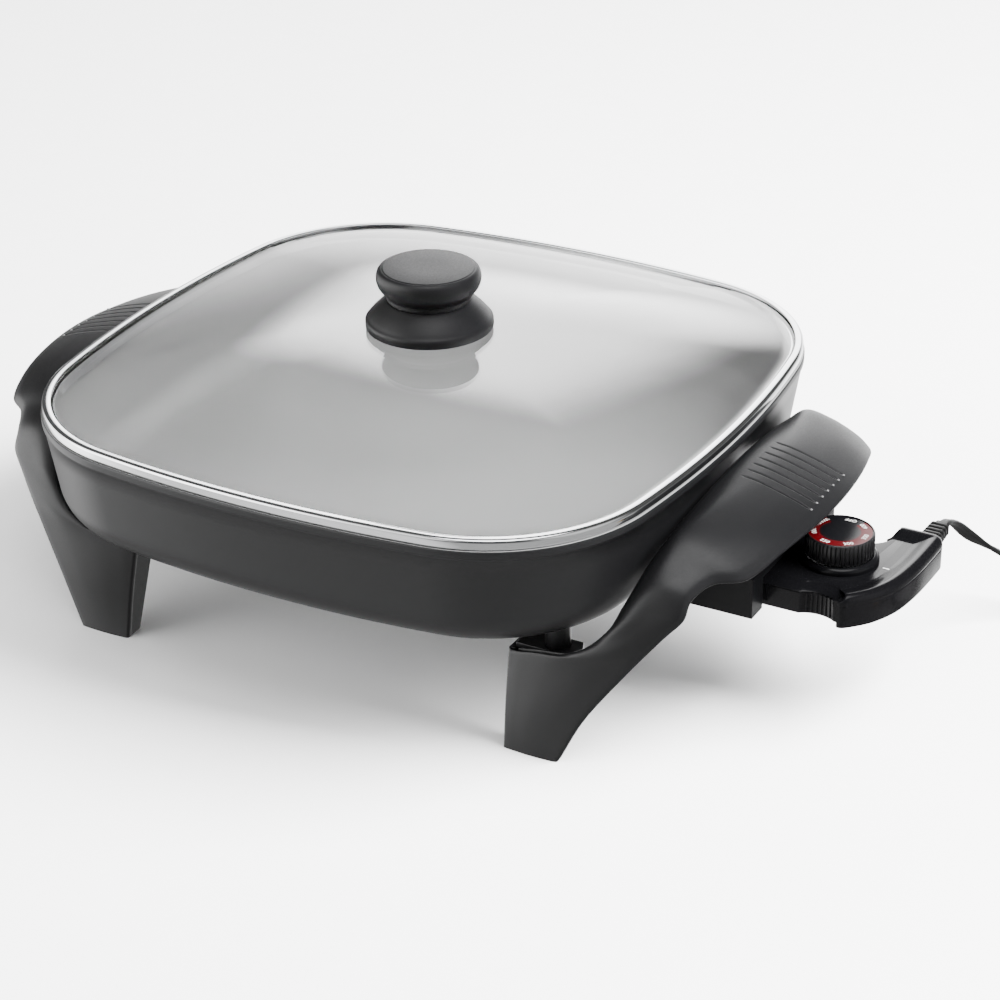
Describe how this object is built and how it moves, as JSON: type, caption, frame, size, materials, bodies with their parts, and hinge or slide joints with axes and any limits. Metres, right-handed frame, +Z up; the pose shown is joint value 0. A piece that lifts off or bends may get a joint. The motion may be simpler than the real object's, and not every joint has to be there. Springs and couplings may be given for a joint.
{
  "type": "electric skillet",
  "caption": "Square electric skillet with two moulded leg-and-handle frames, lift-off glass lid with knob, and a plug-in heat control with dial and cord.",
  "frame": {"origin": "centre of the object's footprint without the cord, on the counter", "axes": "+Z up, +X towards the plug-in heat control, +Y across"},
  "size_m": [0.5455, 0.3064, 0.1609],
  "materials": {
    "pan_coating": "matte dark grey coating, light ceramic non-stick inside",
    "element_steel": "dull sheath",
    "pin_steel": "plated",
    "ceramic": "glazed ceramic",
    "handle_plastic": "fine matte texture",
    "screw_steel": "zinc plated",
    "guard_plastic": "satin black",
    "lid_glass": "clear tempered",
    "band_steel": "polished stainless",
    "knob_plastic": "fine matte texture",
    "brass": "bare",
    "silicone": "smooth",
    "control_plastic": "polished black",
    "socket_plastic": "thermoset",
    "dial_print": "black disc with a red printed ring",
    "cord_pvc": "satin",
    "plug_pvc": "satin"
  },
  "bodies": {
    "cooker": {"pan": "pan_coating", "heating_element": "element_steel", "terminal_pins": "pin_steel", "pin_bushings": "ceramic", "right_handle": "handle_plastic", "left_handle": "handle_plastic", "handle_screws": "screw_steel", "terminal_guard": "guard_plastic", "guard_screws": "screw_steel"},
    "lid": {"lid_glass": "lid_glass", "lid_band": "band_steel", "knob_skirt": "knob_plastic", "knob_grip": "knob_plastic", "knob_insert": "brass", "knob_gasket": "silicone", "knob_washer": "pin_steel", "knob_screw": "screw_steel"},
    "control": {"control_base": "control_plastic", "control_cover": "control_plastic", "control_screws": "screw_steel", "dial_bezel": "control_plastic", "socket_block": "socket_plastic", "contact_sockets": "brass", "sensor_probe": "pin_steel", "thermostat_frame": "screw_steel", "thermostat_strip": "brass", "thermostat_contacts": "pin_steel", "strain_relief": "cord_pvc", "power_cord": "cord_pvc", "cord_coil": "cord_pvc", "cord_tie": "cord_pvc", "plug_lead": "cord_pvc", "plug_body": "plug_pvc", "plug_blades": "brass"},
    "dial": {"temperature_dial": "control_plastic", "dial_face": "dial_print", "dial_spindle": "screw_steel"}
  },
  "joints": [
    {"name": "lid_lift", "type": "slide", "parent": "cooker", "child": "lid", "axis": [0, 0, 1], "range_m": [0, 0.2]},
    {"name": "probe_pull", "type": "slide", "parent": "cooker", "child": "control", "axis": [1, 0, 0], "range_m": [0, 0.09]},
    {"name": "dial_turn", "type": "hinge", "parent": "control", "child": "dial", "pos_m": [0.18435, 0, 0.072], "axis": [0, 0, 1], "range_deg": [-88, 200]}
  ]
}
